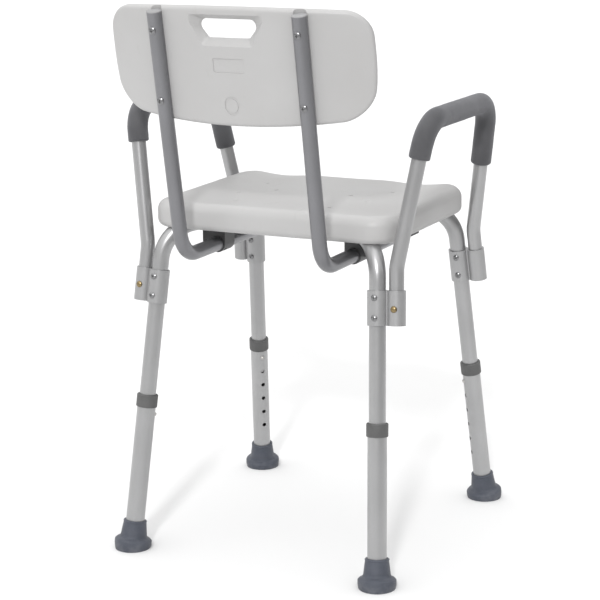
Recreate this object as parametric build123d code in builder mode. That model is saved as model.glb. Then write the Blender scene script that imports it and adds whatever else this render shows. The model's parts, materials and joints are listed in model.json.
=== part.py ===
from build123d import *
from math import asin, atan2, cos, degrees, radians, sin, sqrt
import os

# Height-adjustable shower chair with a removable backrest and lift-off armrests.
# Millimetres. +Z is up, the sitter faces -Y, and +X is the sitter's left. The origin is on the
# floor, under the middle of the whole chair. Two bent tubes cross under the seat and run down
# as the four splayed legs, each inside an outer leg tube that is pinned by a snap button.

os.makedirs("parts", exist_ok=True)

# ---------------------------------------------------------------- driving dimensions
LEG_CENTRE_Y = -15.42        # the legs' middle stands forward of the origin, under the seat
FOOT_X, FOOT_Y = 207.0, 223.5        # where a leg's axis meets the floor, from the legs' middle
CLAMP_X, CLAMP_Y = 184.0, 167.0      # the same axis at the bottom of its clamp
CLAMP_Z = 380.4
CLAMP_LENGTH = 50.8

FRAME_R, FRAME_WALL = 12.5, 1.5      # crossing frame tube, which is also the inner leg tube
LEG_R, LEG_BORE_R = 14.3, 12.6       # outer leg tube
ARM_R, ARM_WALL = 11.0, 1.5          # armrest tube
BACK_R, BACK_WALL = 11.0, 1.5        # backrest tube
PLAY = 0.1                           # radial play of a sliding fit
SNUG = 0.05                          # radial play between pieces that are fixed together
M5_R = 2.5                           # shank of the screws that hold the seat and the backrest
M5_HOLE_R = M5_R + SNUG
THROUGH = 20.0                       # half the depth of a hole drilled right through a tube
NEAR_WALL = 4.0                      # where a hole in one wall of a tube starts, from its axis

FRAME_Z = 500.0                      # height of the crossing tubes' axes under the seat
FRAME_BEND_R = 62.5
CRANK = FRAME_R + 0.1                # how far each tube is cranked up or down at the crossing
CRANK_IN, CRANK_OUT = 38.0, 78.0     # where the crank starts and ends, from the crossing
CRANK_BEND_R = 60.0
INNER_LEG_END_Z = 182.0

OUTER_LEG_TOP_Z, OUTER_LEG_LOW_Z = 237.6, 9.0
BUTTON_Z = 208.8                     # the snap button, in the top hole of the outer leg tube
HOLE_PITCH, HOLE_COUNT = 25.4, 6
BUTTON_R, BUTTON_HOLE_R = 3.1, 3.3
ARM_BUTTON_R, ARM_BUTTON_HOLE_R = 4.7, 5.0
BUTTON_PROUD = 2.6
INWARD_DEG = 42.0                    # the buttons face the chair's middle

SEAT_X, SEAT_Y = 400.0, 318.0
SEAT_LOW_Z, SEAT_TOP_Z = 495.0, 536.0
SEAT_CORNER_R = 42.0
SEAT_SKIN, SEAT_WALL, RIB = 5.0, 15.0, 3.2
SEAT_TOP_EDGE_R, SEAT_LOW_EDGE_R = 16.0, 11.0
DRAINS = ((78.0, 102.0), (109.0, 34.0), (64.0, -7.0), (109.0, -65.0))
DRAIN_R = 3.0

ARM_OUT, ARM_FORWARD = 27.8, 5.0     # arm sleeve's axis from the leg's axis
ARM_KINK_Z, ARM_TOP_Z = 465.0, 674.0
ARM_SPLAY = 0.16                     # how far the armrest leans out for each millimetre up
ARM_CORNER_R, ARM_KINK_R = 46.0, 60.0
GRIP_R = 15.9
GRIP_REAR_Z, GRIP_FRONT_Z = 620.0, 574.0

BACK_X = 114.0
BACK_LEAN = 0.1774                   # the backrest leans back this far for each millimetre up
BACK_REF_Z = 700.0
BACK_REF_Y = LEG_CENTRE_Y + 248.0    # the backrest tube's axis at that height
BACK_TOP_Z = 832.0
BACK_RUN_Z = 464.5                   # the tubes' level run under the seat
BACK_BEND_R = 45.0
BACK_FRONT_Y = LEG_CENTRE_Y - 93.0
PANEL_T, PANEL_CURVE_R = 14.0, 550.0
PANEL_BACK_W = -6.7                  # the panel's rearmost line, from the tubes' plane
SCREW_V = (5.4, 109.2)               # backrest screws, up the lean from the reference height

CORNERS = {"rear_left": (1, 1), "rear_right": (-1, 1), "front_right": (-1, -1), "front_left": (1, -1)}
SIDES = {"left": 1, "right": -1}
UP, DOWN = Vector(0, 0, 1), Vector(0, 0, -1)


def write(builder, name):
    """Label a finished piece and write its STEP file."""
    builder.part.label = name
    export_step(builder.part, f"parts/{name}.step")


# ---------------------------------------------------------------- axes and planes
def leg_point(corner, z):
    """Point on a leg's axis at a height."""
    side, end = CORNERS[corner]
    t = z / CLAMP_Z
    x = FOOT_X + (CLAMP_X - FOOT_X) * t
    y = FOOT_Y + (CLAMP_Y - FOOT_Y) * t
    return Vector(side * x, LEG_CENTRE_Y + end * y, z)


def leg_up(corner):
    """Unit vector up a leg's axis."""
    return (leg_point(corner, CLAMP_Z) - leg_point(corner, 0)).normalized()


def arm_point(corner, z):
    """Point on an arm sleeve's axis at a height: it runs beside the leg, outside it."""
    side = CORNERS[corner][0]
    return leg_point(corner, z) + Vector(side * ARM_OUT, -ARM_FORWARD, 0)


def leg_plane(corner, z, facing=None):
    """Plane square to a leg, at a height on its axis, with its X axis turned towards facing."""
    facing = facing or Vector(CORNERS[corner][0], 0, 0)
    return Plane(origin=leg_point(corner, z), x_dir=facing, z_dir=leg_up(corner))


def squared(direction, axis):
    """The part of a direction that is square to an axis."""
    return (direction - axis * direction.dot(axis)).normalized()


def inward(corner):
    """From a leg towards the chair's middle, square to the leg."""
    side, end = CORNERS[corner]
    a = radians(INWARD_DEG)
    return squared(Vector(-side * cos(a), -end * sin(a), 0), leg_up(corner))


def rearward(corner):
    """Straight back, square to the leg, where the clamp's screws and the arm button sit."""
    return squared(Vector(CORNERS[corner][0] * 0.09, 1, 0), leg_up(corner))


BACK_UP = Vector(0, BACK_LEAN, 1).normalized()
BACK_AHEAD = Vector(0, -BACK_UP.Z, BACK_UP.Y)
BACK_PLANE = Plane(origin=(0, BACK_REF_Y, BACK_REF_Z), x_dir=(1, 0, 0), z_dir=BACK_AHEAD)


def back_point(side, v, w=0.0):
    """Point on or off a backrest tube's axis: v up the lean, w towards the sitter."""
    return Vector(side * BACK_X, BACK_REF_Y, BACK_REF_Z) + BACK_UP * v + BACK_AHEAD * w


# ---------------------------------------------------------------- repeated shapes
def bent_tube(points, radii, outer, wall=0.0):
    """Tube swept along straight runs joined by tangent arcs, or a solid rod without a wall."""
    with BuildPart() as tube:
        with BuildLine() as path:
            FilletPolyline(*points, radius=radii)
        start = Plane(origin=path.line @ 0, z_dir=path.line % 0)
        with BuildSketch(start):
            Circle(outer)
            if wall:
                Circle(outer - wall, mode=Mode.SUBTRACT)
        sweep()
    return tube


def turning_plane(origin, direction):
    """Plane for the half section of a turned piece: Y runs along direction, X is the radius."""
    across = Vector(0, 0, 1) if abs(direction.Z) < 0.9 else Vector(1, 0, 0)
    side = direction.cross(across).normalized()
    return Plane(origin=origin, x_dir=side, z_dir=side.cross(direction))


def round_pin(origin, direction, profile):
    """Turned piece: profile is a closed list of (radius, distance along direction)."""
    with BuildPart() as pin:
        with BuildSketch(turning_plane(origin, direction)):
            with BuildLine():
                Polyline(*profile, close=True)
            make_face()
        revolve(axis=Axis(origin, direction))
    return pin


def dome_middle(radius, rim, top):
    """Point halfway round a spherical dome that is centred on the turning axis."""
    rise = top - rim
    sphere = (radius ** 2 + rise ** 2) / (2 * rise)
    half = asin(radius / sphere) / 2
    return sphere * sin(half), top - sphere * (1 - cos(half))


def snap_button(origin, direction, bore_r, surface_r, radius=BUTTON_R):
    """Button of a snap spring: a flanged stud with a domed end, proud of the outer tube."""
    flange = radius + 1.1
    base = bore_r - 3.6
    shoulder = base + 1.0
    tip = surface_r + BUTTON_PROUD
    rim = tip - 2.0
    with BuildPart() as button:
        with BuildSketch(turning_plane(origin, direction)):
            with BuildLine():
                Polyline((0, base), (flange, base), (flange, shoulder), (radius, shoulder), (radius, rim))
                ThreePointArc((radius, rim), dome_middle(radius, rim, tip), (0, tip))
                Line((0, tip), (0, base))
            make_face()
        revolve(axis=Axis(origin, direction))
    return button


def snap_spring(origin, direction, along, bore_r):
    """Folded strip of spring steel inside a tube, with one arm behind the button."""
    front = bore_r - 4.1
    back = -(bore_r - 1.3)
    plane = Plane(origin=origin, x_dir=direction, z_dir=direction.cross(along))
    with BuildPart() as spring:
        with BuildSketch(plane):
            with BuildLine():
                strip = (front, 6), (front, -7), (back + 2.2, -34), (back, -34), (back, 4)
                FilletPolyline(*strip, radius=0.9)
            trace(line_width=0.6)
        extrude(amount=3.2, both=True)
    return spring


def pan_screw(origin, direction, head_r, head_h, shank_r, length):
    """Pan-head screw: the head's flat face is at origin and the shank runs back from it."""
    plane = turning_plane(origin, direction)
    rim = head_h * 0.35
    with BuildPart() as screw:
        with BuildSketch(plane):
            with BuildLine():
                Polyline((0, -length), (shank_r, -length), (shank_r, 0), (head_r, 0), (head_r, rim))
                ThreePointArc((head_r, rim), dome_middle(head_r, rim, head_h), (0, head_h))
                Line((0, head_h), (0, -length))
            make_face()
        revolve(axis=Axis(origin, direction))
        with BuildSketch(Plane(origin=origin + direction * head_h, x_dir=plane.x_dir, z_dir=direction)):
            Rectangle(head_r * 0.95, 0.9)
            Rectangle(0.9, head_r * 0.95)
        extrude(amount=-head_h * 0.55, mode=Mode.SUBTRACT)
    return screw


def drill(origin, direction, radius, start, end):
    """Cut a round hole from the part being built, between two distances along direction."""
    with Locations(Plane(origin=origin + direction * start, z_dir=direction)):
        Cylinder(radius, end - start, align=(Align.CENTER, Align.CENTER, Align.MIN), mode=Mode.SUBTRACT)


# ---------------------------------------------------------------- crossing frame tubes
LEG_AT_FRAME = leg_point("rear_left", FRAME_Z)
DIAGONAL = Vector(LEG_AT_FRAME.X, LEG_AT_FRAME.Y - LEG_CENTRE_Y, 0)
DIAGONAL_LENGTH = DIAGONAL.length
BRACKET_RUN = 141.0                  # the bracket screws, out along the crossing tubes
SEAT_SCREW_RUN = 100.0
RIVET_R = 3.0


def on_diagonal(corner, run, z):
    """Point under the seat on the line from the middle towards a leg."""
    side, end = CORNERS[corner]
    x, y = DIAGONAL.X * run / DIAGONAL_LENGTH, DIAGONAL.Y * run / DIAGONAL_LENGTH
    return Vector(side * x, LEG_CENTRE_Y + end * y, z)


CLAMP_SCREW_HEIGHTS = (11.5, 41.0)                # up from the clamp's bottom
CLAMP_SCREW_R = 1.95
CLAMP_HOLE_R = CLAMP_SCREW_R + SNUG


def clamp_height(corner, up):
    """Point on the leg's axis, a distance up from the clamp's bottom."""
    return leg_point(corner, CLAMP_Z) + leg_up(corner) * up


for name, first, last, step in (
    ("cross_tube_lower", "rear_left", "front_right", -CRANK),
    ("cross_tube_upper", "rear_right", "front_left", CRANK),
):
    route = [
        leg_point(first, INNER_LEG_END_Z),
        leg_point(first, FRAME_Z),
        on_diagonal(first, CRANK_OUT, FRAME_Z),
        on_diagonal(first, CRANK_IN, FRAME_Z + step),
        on_diagonal(last, CRANK_IN, FRAME_Z + step),
        on_diagonal(last, CRANK_OUT, FRAME_Z),
        leg_point(last, FRAME_Z),
        leg_point(last, INNER_LEG_END_Z),
    ]
    bends = (FRAME_BEND_R, *(CRANK_BEND_R,) * 4, FRAME_BEND_R)
    cross_tube = bent_tube(route, bends, FRAME_R, FRAME_WALL)
    with cross_tube:
        for corner in (first, last):
            drill(leg_point(corner, BUTTON_Z), inward(corner), BUTTON_HOLE_R, NEAR_WALL, THROUGH)
            for up in CLAMP_SCREW_HEIGHTS:
                drill(clamp_height(corner, up), rearward(corner), CLAMP_HOLE_R, NEAR_WALL, THROUGH)
            for run in (BRACKET_RUN, SEAT_SCREW_RUN):
                drill(on_diagonal(corner, run, FRAME_Z), UP, M5_HOLE_R, -THROUGH, THROUGH)
        drill(Vector(0, LEG_CENTRE_Y, FRAME_Z + step), UP, RIVET_R + SNUG, -THROUGH, THROUGH)
    write(cross_tube, name)

RIVET_LOW = FRAME_Z - CRANK - FRAME_R
RIVET_TOP = FRAME_Z + CRANK + FRAME_R
centre_rivet = round_pin(Vector(0, LEG_CENTRE_Y, 0), UP, [
    (0, RIVET_LOW - 2.4), (4.6, RIVET_LOW - 2.4), (6, RIVET_LOW - 0.6), (6, RIVET_LOW),
    (RIVET_R, RIVET_LOW), (RIVET_R, RIVET_TOP),
    (6, RIVET_TOP), (6, RIVET_TOP + 0.6), (4.6, RIVET_TOP + 2.4), (0, RIVET_TOP + 2.4),
])
write(centre_rivet, "centre_rivet")

# ---------------------------------------------------------------- legs
LEG_SLEEVE_R, ARM_SLEEVE_R = 15.3, 13.7
SLEEVE_WEB = 12.0
COLLAR_R, COLLAR_H = 16.3, 20.0
FOOT_TOP, FOOT_FLANGE_R = 44.0, 28.7

for corner in CORNERS:
    up = leg_up(corner)
    rear = CORNERS[corner][1] > 0

    # double sleeve that grips the frame tube and takes the end of the armrest
    with BuildPart() as leg_clamp:
        base = leg_plane(corner, CLAMP_Z)
        arm_at = base.to_local_coords(arm_point(corner, CLAMP_Z))
        arm_x, arm_y = arm_at.X, arm_at.Y
        spacing = sqrt(arm_x ** 2 + arm_y ** 2)
        with BuildSketch(base):
            Circle(LEG_SLEEVE_R)
            with Locations((arm_x, arm_y)):
                Circle(ARM_SLEEVE_R)
            with Locations(Location((arm_x / 2, arm_y / 2), degrees(atan2(arm_y, arm_x)))):
                Rectangle(spacing, SLEEVE_WEB)
            Circle(FRAME_R + SNUG, mode=Mode.SUBTRACT)
            with Locations((arm_x, arm_y)):
                Circle(ARM_R + PLAY, mode=Mode.SUBTRACT)
        extrude(amount=CLAMP_LENGTH)
        for height in CLAMP_SCREW_HEIGHTS:
            drill(clamp_height(corner, height), rearward(corner), CLAMP_HOLE_R, NEAR_WALL, THROUGH)
        if rear:
            sleeve_mid = arm_point(corner, CLAMP_Z) + up * CLAMP_LENGTH / 2
            drill(sleeve_mid, rearward(corner), ARM_BUTTON_HOLE_R, NEAR_WALL, THROUGH)
    write(leg_clamp, f"leg_clamp_{corner}")

    # outer leg tube with its row of adjustment holes
    length = (OUTER_LEG_TOP_Z - OUTER_LEG_LOW_Z) / up.Z
    with BuildPart() as outer_leg:
        with BuildSketch(leg_plane(corner, OUTER_LEG_LOW_Z)):
            Circle(LEG_R)
            Circle(LEG_BORE_R, mode=Mode.SUBTRACT)
        extrude(amount=length)
        for hole in range(HOLE_COUNT):
            hole_at = leg_point(corner, BUTTON_Z) - up * HOLE_PITCH * hole
            drill(hole_at, inward(corner), BUTTON_HOLE_R, NEAR_WALL, THROUGH)
    write(outer_leg, f"outer_leg_{corner}")

    # plastic collar over the mouth of the outer tube, which stops rattle
    lip = 2.2
    leg_collar = round_pin(leg_point(corner, OUTER_LEG_TOP_Z), up, [
        (LEG_R + SNUG, lip - COLLAR_H), (COLLAR_R - 0.8, lip - COLLAR_H),
        (COLLAR_R, lip - COLLAR_H + 0.8), (COLLAR_R, lip - 1.0), (COLLAR_R - 1.0, lip),
        (FRAME_R + PLAY + 0.5, lip), (FRAME_R + PLAY, lip - 0.5),
        (FRAME_R + PLAY, 0.05), (LEG_R + SNUG, 0.05),
    ])
    write(leg_collar, f"leg_collar_{corner}")

    # rubber foot: a tapered boot on a wide flange, in line with the leg and flat on the floor
    rubber_foot = round_pin(leg_point(corner, 0), up, [
        (0, -8), (FOOT_FLANGE_R - 2.2, -8), (FOOT_FLANGE_R, 2), (FOOT_FLANGE_R, 12.5),
        (FOOT_FLANGE_R - 2.6, 15.4), (20.8, 18.2), (17.6, FOOT_TOP - 1.2), (16.8, FOOT_TOP),
        (LEG_R + SNUG, FOOT_TOP), (LEG_R + SNUG, 9.0), (0, 9.0),
    ])
    with rubber_foot:
        split(bisect_by=Plane.XY, keep=Keep.TOP)
    write(rubber_foot, f"rubber_foot_{corner}")

    # steel washer that keeps the tube from cutting through the rubber
    washer_at = leg_point(corner, 0) + up * (OUTER_LEG_LOW_Z / up.Z + 0.1)
    with BuildPart() as foot_washer:
        with BuildSketch(Plane(origin=washer_at, z_dir=up)):
            Circle(LEG_BORE_R - 0.2)
            Circle(4, mode=Mode.SUBTRACT)
        extrude(amount=1.6)
    write(foot_washer, f"foot_washer_{corner}")

    # snap button and its spring inside the inner leg tube
    leg_button = snap_button(leg_point(corner, BUTTON_Z), inward(corner), FRAME_R - FRAME_WALL, LEG_R)
    write(leg_button, f"leg_button_{corner}")
    leg_spring = snap_spring(leg_point(corner, BUTTON_Z), inward(corner), up, FRAME_R - FRAME_WALL)
    write(leg_spring, f"leg_button_spring_{corner}")

# two screws through each clamp into the frame tube
with BuildPart() as clamp_screws:
    for corner in CORNERS:
        for height in CLAMP_SCREW_HEIGHTS:
            facing = rearward(corner)
            seat_at = clamp_height(corner, height) + facing * LEG_SLEEVE_R
            add(pan_screw(seat_at, facing, 4.7, 2.8, CLAMP_SCREW_R, 8).part)
write(clamp_screws, "clamp_screws")

# ---------------------------------------------------------------- armrests
for word, side in SIDES.items():
    rear, front = f"rear_{word}", f"front_{word}"
    top_x = abs(arm_point(rear, ARM_KINK_Z).X) + ARM_SPLAY * (ARM_TOP_Z - ARM_KINK_Z)
    corners = [
        arm_point(rear, CLAMP_Z + 2),
        arm_point(rear, ARM_KINK_Z),
        Vector(side * top_x, arm_point(rear, ARM_TOP_Z).Y, ARM_TOP_Z),
        Vector(side * top_x, arm_point(front, ARM_TOP_Z).Y, ARM_TOP_Z),
        arm_point(front, ARM_KINK_Z),
        arm_point(front, CLAMP_Z + 2),
    ]
    arm_bends = (ARM_KINK_R, ARM_CORNER_R, ARM_CORNER_R, ARM_KINK_R)
    armrest_tube = bent_tube(corners, arm_bends, ARM_R, ARM_WALL)
    button_at = arm_point(rear, CLAMP_Z) + leg_up(rear) * CLAMP_LENGTH / 2
    with armrest_tube:
        drill(button_at, rearward(rear), ARM_BUTTON_HOLE_R, NEAR_WALL, THROUGH)
    write(armrest_tube, f"armrest_tube_{word}")

    # foam grip over the bends and the top of the armrest tube
    rear_dir = (corners[2] - corners[1]).normalized()
    front_dir = (corners[3] - corners[4]).normalized()
    grip_rear = corners[1] + rear_dir * ((GRIP_REAR_Z - ARM_KINK_Z) / rear_dir.Z)
    grip_front = corners[4] + front_dir * ((GRIP_FRONT_Z - ARM_KINK_Z) / front_dir.Z)
    grip_route = [grip_rear, corners[2], corners[3], grip_front]
    armrest_grip = bent_tube(grip_route, (ARM_CORNER_R,) * 2, GRIP_R, GRIP_R - ARM_R - SNUG)
    write(armrest_grip, f"armrest_grip_{word}")

    arm_bore = ARM_R - ARM_WALL
    armrest_button = snap_button(button_at, rearward(rear), arm_bore, ARM_SLEEVE_R, ARM_BUTTON_R)
    write(armrest_button, f"armrest_button_{word}")
    armrest_spring = snap_spring(button_at, rearward(rear), leg_up(rear) * -1, arm_bore)
    write(armrest_spring, f"armrest_button_spring_{word}")

# ---------------------------------------------------------------- backrest tubes
BRACKET_FAR, BRACKET_NEAR = 98.4, 66.9   # a bracket's end faces, from the legs' middle
BACK_BUTTON_Y = LEG_CENTRE_Y + BRACKET_NEAR - 8.0

for word, side in SIDES.items():
    bend_y = BACK_REF_Y + BACK_LEAN * (BACK_RUN_Z - BACK_REF_Z)
    route = [
        Vector(side * BACK_X, BACK_REF_Y + BACK_LEAN * (BACK_TOP_Z - BACK_REF_Z), BACK_TOP_Z),
        Vector(side * BACK_X, bend_y, BACK_RUN_Z),
        Vector(side * BACK_X, BACK_FRONT_Y, BACK_RUN_Z),
    ]
    backrest_tube = bent_tube(route, (BACK_BEND_R,), BACK_R, BACK_WALL)
    button_at = Vector(side * BACK_X, BACK_BUTTON_Y, BACK_RUN_Z)
    with backrest_tube:
        for v in SCREW_V:
            drill(back_point(side, v), BACK_AHEAD, M5_HOLE_R, -THROUGH, THROUGH)
        drill(button_at, DOWN, BUTTON_HOLE_R, NEAR_WALL, THROUGH)
    write(backrest_tube, f"backrest_tube_{word}")

    backrest_button = snap_button(button_at, DOWN, BACK_R - BACK_WALL, BACK_R)
    write(backrest_button, f"backrest_button_{word}")
    backrest_spring = snap_spring(button_at, DOWN, Vector(0, -1, 0), BACK_R - BACK_WALL)
    write(backrest_spring, f"backrest_button_spring_{word}")

with BuildPart() as backrest_tube_caps:
    for side in SIDES.values():
        top = Vector(side * BACK_X, BACK_REF_Y + BACK_LEAN * (BACK_TOP_Z - BACK_REF_Z), BACK_TOP_Z)
        add(round_pin(top, BACK_UP, [
            (0, -12), (BACK_R - BACK_WALL - SNUG, -12), (BACK_R - BACK_WALL - SNUG, 0),
            (BACK_R, 0), (BACK_R, 1.1), (BACK_R - 0.8, 1.9), (0, 1.9),
        ]).part)
write(backrest_tube_caps, "backrest_tube_caps")

# ---------------------------------------------------------------- backrest panel
PANEL_REAR_R = PANEL_CURVE_R + PANEL_T
CURVE_CENTRE_W = PANEL_BACK_W + PANEL_REAR_R     # axis of the panel's curve, ahead of the tubes
INSERT_R = 3.9
INSERT_NEAR_W, INSERT_FAR_W = BACK_R + 0.6, BACK_R + 6.6

with BuildPart() as backrest_panel:
    # a curved band, seen along the lean, cut to the outline
    with BuildSketch(Plane(origin=BACK_PLANE.origin - BACK_UP * 60, x_dir=(1, 0, 0), z_dir=BACK_UP)):
        with Locations((0, -CURVE_CENTRE_W)):
            Circle(PANEL_REAR_R)
            Circle(PANEL_CURVE_R, mode=Mode.SUBTRACT)
        with Locations((0, -20)):
            Rectangle(460, 80, mode=Mode.INTERSECT)
    extrude(amount=240)
    with BuildSketch(BACK_PLANE.offset(-40)) as outline:
        with BuildLine():
            ThreePointArc((-206, 133), (0, 144.5), (206, 133))
            ThreePointArc((206, 133), (209.8, 66), (200, -18))
            ThreePointArc((200, -18), (0, -28.5), (-200, -18))
            ThreePointArc((-200, -18), (-209.8, 66), (-206, 133))
        make_face()
        fillet(outline.vertices().group_by(Axis.Y)[-1], radius=34)
        fillet(outline.vertices().group_by(Axis.Y)[0], radius=42)
    extrude(amount=120, mode=Mode.INTERSECT)
    faces = backrest_panel.faces().filter_by(GeomType.CYLINDER).sort_by(SortBy.AREA)[-2:]
    fillet(faces.edges(), radius=4)
    # hand slot, narrower below
    with BuildSketch(BACK_PLANE.offset(-30)) as slot:
        with BuildLine():
            Polyline((-53.5, 125.7), (53.5, 125.7), (32, 98.7), (-32, 98.7), close=True)
        make_face()
        fillet(slot.vertices(), radius=7)
    extrude(amount=90, mode=Mode.SUBTRACT)
    for side in SIDES.values():
        # groove that each tube beds into, and the inserts that its screws reach
        drill(back_point(side, -60), BACK_UP, BACK_R + SNUG, 0, 260)
        for v in SCREW_V:
            drill(back_point(side, v), BACK_AHEAD, INSERT_R + SNUG, 0, INSERT_FAR_W + 0.2)
write(backrest_panel, "backrest_panel")

with BuildPart() as backrest_inserts:
    for side in SIDES.values():
        for v in SCREW_V:
            add(round_pin(back_point(side, v), BACK_AHEAD, [
                (M5_HOLE_R, INSERT_NEAR_W), (INSERT_R, INSERT_NEAR_W),
                (INSERT_R, INSERT_FAR_W), (M5_HOLE_R, INSERT_FAR_W),
            ]).part)
write(backrest_inserts, "backrest_inserts")

with BuildPart() as backrest_screws:
    for side in SIDES.values():
        for v in SCREW_V:
            add(pan_screw(back_point(side, v, -BACK_R), BACK_AHEAD * -1, 5.5, 3.4, M5_R, 28).part)
write(backrest_screws, "backrest_screws")

# ---------------------------------------------------------------- backrest brackets
BRACKET_R = 13.5                     # the block is round under the backrest tube
BRACKET_OUT = 25.0                   # and square above it, with a wing this far outward
BRACKET_LENGTH = BRACKET_FAR - BRACKET_NEAR
BRACKET_TOP_Z = 503.0
BRACKET_LOW_Z = BACK_RUN_Z - BRACKET_R
HEAD_Z = BACK_RUN_Z + BACK_R + 0.5   # the bracket screw's head sits above the backrest tube
BRACKET_HEAD_R = 4.9
AHEAD = Vector(0, -1, 0)

for end_word, end in (("rear", 1), ("front", -1)):
    mouth_y = LEG_CENTRE_Y + (BRACKET_FAR if end > 0 else -BRACKET_NEAR)
    # the backrest tube goes right through the rear bracket and stops inside the front one
    bore = BRACKET_LENGTH + 1 if end > 0 else mouth_y - BACK_FRONT_Y + 0.3
    for word, side in SIDES.items():
        corner = f"{end_word}_{word}"
        screw_at = on_diagonal(corner, BRACKET_RUN, 0)
        mouth = Vector(side * BACK_X, mouth_y, BACK_RUN_Z)
        with BuildPart() as bracket:
            with BuildSketch(Plane(origin=mouth, x_dir=(1, 0, 0), z_dir=AHEAD)):
                Circle(BRACKET_R)
                with Locations((side * (BRACKET_OUT - BRACKET_R) / 2, (BRACKET_TOP_Z - BACK_RUN_Z) / 2)):
                    Rectangle(BRACKET_OUT + BRACKET_R, BRACKET_TOP_Z - BACK_RUN_Z)
            extrude(amount=BRACKET_LENGTH)
            drill(mouth, AHEAD, BACK_R + PLAY, -1, bore)
            # saddle for the crossing tube, open upwards
            along = (on_diagonal(corner, 1, 0) - on_diagonal(corner, 0, 0)).normalized()
            saddle_start = screw_at + UP * FRAME_Z - along * 60
            with BuildSketch(Plane(origin=saddle_start, x_dir=UP, z_dir=along)):
                Circle(FRAME_R + SNUG)
                Rectangle(30, 2 * (FRAME_R + SNUG), align=(Align.MIN, Align.CENTER))
            extrude(amount=120, mode=Mode.SUBTRACT)
            drill(screw_at, UP, M5_HOLE_R, HEAD_Z - 1, FRAME_Z)
            drill(screw_at, UP, BRACKET_HEAD_R + 0.2, BRACKET_LOW_Z - 5, HEAD_Z + 3.2)
        write(bracket, f"{end_word}_bracket_{word}")

SEAT_SCREW_END_Z = SEAT_TOP_Z - SEAT_SKIN - 3
with BuildPart() as bracket_screws:
    for corner in CORNERS:
        at = on_diagonal(corner, BRACKET_RUN, 0)
        add(round_pin(at, UP, [
            (0, HEAD_Z), (BRACKET_HEAD_R, HEAD_Z), (BRACKET_HEAD_R, HEAD_Z + 0.4), (M5_R, HEAD_Z + 3.0),
            (M5_R, SEAT_SCREW_END_Z), (0, SEAT_SCREW_END_Z),
        ]).part)
write(bracket_screws, "bracket_screws")

with BuildPart() as seat_screws:
    for corner in CORNERS:
        at = on_diagonal(corner, SEAT_SCREW_RUN, FRAME_Z - FRAME_R)
        add(pan_screw(at, DOWN, 4.6, 2.8, M5_R, SEAT_SCREW_END_Z - at.Z).part)
write(seat_screws, "seat_screws")

# ---------------------------------------------------------------- seat
BOSS_R = 7.0
CHANNEL_R = FRAME_R + 0.3
CHANNEL_END = 216.0
CRANK_CLEAR = 12.0                   # the tube's bend at the end of its crank
BEND_ROUTES = [
    (on_diagonal(corner, BRACKET_RUN, FRAME_Z), leg_point(corner, FRAME_Z), leg_point(corner, CLAMP_Z))
    for corner in CORNERS
]
BEND_RODS = [bent_tube(route, (FRAME_BEND_R,), CHANNEL_R).part for route in BEND_ROUTES]
RIB_LOW_Z = SEAT_LOW_Z + 8.0         # the ribs stop short of the rim

with BuildPart() as seat_panel:
    with BuildSketch(Plane((0, LEG_CENTRE_Y, SEAT_LOW_Z))):
        RectangleRounded(SEAT_X, SEAT_Y, SEAT_CORNER_R)
    extrude(amount=SEAT_TOP_Z - SEAT_LOW_Z)
    fillet(seat_panel.faces().sort_by(Axis.Z)[-1].edges(), radius=SEAT_TOP_EDGE_R)
    fillet(seat_panel.faces().sort_by(Axis.Z)[0].edges(), radius=SEAT_LOW_EDGE_R)
    # hollow underside, stiffened by ribs and by bosses over the frame
    with BuildSketch(Plane((0, LEG_CENTRE_Y, SEAT_LOW_Z))):
        RectangleRounded(SEAT_X - 2 * SEAT_WALL, SEAT_Y - 2 * SEAT_WALL, SEAT_CORNER_R - SEAT_WALL)
    extrude(amount=RIB_LOW_Z - SEAT_LOW_Z, mode=Mode.SUBTRACT)
    with BuildSketch(Plane((0, LEG_CENTRE_Y, RIB_LOW_Z))):
        RectangleRounded(SEAT_X - 2 * SEAT_WALL, SEAT_Y - 2 * SEAT_WALL, SEAT_CORNER_R - SEAT_WALL)
        with GridLocations(60, 0, 5, 1):
            Rectangle(RIB, SEAT_Y, mode=Mode.SUBTRACT)
        with GridLocations(0, 58, 1, 5):
            Rectangle(SEAT_X, RIB, mode=Mode.SUBTRACT)
        for corner in CORNERS:
            for run in (BRACKET_RUN, SEAT_SCREW_RUN):
                at = on_diagonal(corner, run, 0)
                with Locations((at.X, at.Y - LEG_CENTRE_Y)):
                    Circle(BOSS_R, mode=Mode.SUBTRACT)
    extrude(amount=SEAT_TOP_Z - SEAT_SKIN - RIB_LOW_Z, mode=Mode.SUBTRACT)
    # channels that clear the crossing tubes, deeper at the crank
    for corner in CORNERS:
        along = (on_diagonal(corner, 1, 0) - on_diagonal(corner, 0, 0)).normalized()
        for end, height in ((CRANK_OUT + CRANK_CLEAR, FRAME_Z + CRANK), (CHANNEL_END, FRAME_Z)):
            with BuildSketch(Plane(origin=on_diagonal(corner, -12, height), x_dir=UP, z_dir=along)):
                Circle(CHANNEL_R)
                Rectangle(60, 2 * CHANNEL_R, align=(Align.MAX, Align.CENTER))
            extrude(amount=end + 12, mode=Mode.SUBTRACT)
        for run in (BRACKET_RUN, SEAT_SCREW_RUN):
            drill(on_diagonal(corner, run, 0), UP, M5_HOLE_R, FRAME_Z, SEAT_SCREW_END_Z + 0.5)
    # and the rim clears the bends of the crossing tubes
    add(BEND_RODS, mode=Mode.SUBTRACT)
    with Locations((0, LEG_CENTRE_Y, RIVET_TOP - 1)):
        Cylinder(7.5, 5, align=(Align.CENTER, Align.CENTER, Align.MIN), mode=Mode.SUBTRACT)
    # drain holes
    for x, y in DRAINS:
        for side in SIDES.values():
            drill(Vector(side * x, LEG_CENTRE_Y + y, 0), UP, DRAIN_R, SEAT_LOW_Z, SEAT_TOP_Z + 1)
write(seat_panel, "seat_panel")
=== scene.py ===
import json
import math

import bmesh
import bpy
from mathutils import Matrix, Vector
from mathutils import noise as mathnoise


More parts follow.
